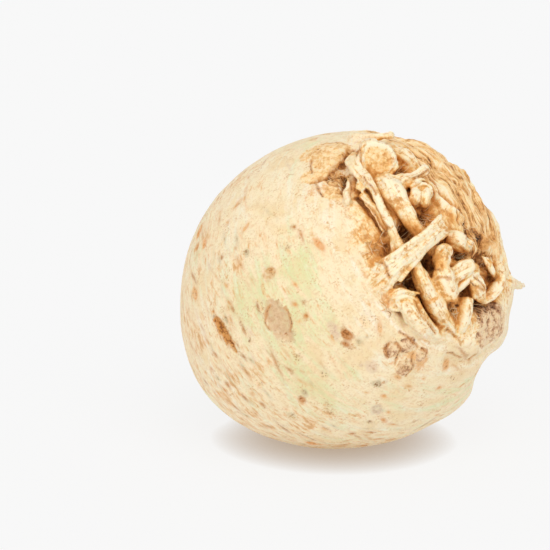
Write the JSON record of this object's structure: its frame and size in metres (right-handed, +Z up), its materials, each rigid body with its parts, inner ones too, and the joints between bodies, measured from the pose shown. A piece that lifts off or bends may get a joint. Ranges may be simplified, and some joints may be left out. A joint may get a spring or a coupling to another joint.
{
  "type": "celeriac root",
  "caption": "Whole celeriac lying tipped: pale round root with a knot of cut and broken roots at one end and a trimmed leaf crown at the other.",
  "frame": {"origin": "middle of the small flat spot that the root rests on, under its weight, at the level of the table", "axes": "+Z up as it lies; the root end points up and toward +X and -Y, the trimmed leaf crown down and toward -X and +Y"},
  "size_m": [0.1339, 0.1243, 0.1244],
  "materials": {
    "celeriac_skin": "satin"
  },
  "bodies": {
    "root": {"celeriac_root": "celeriac_skin"}
  },
  "joints": []
}
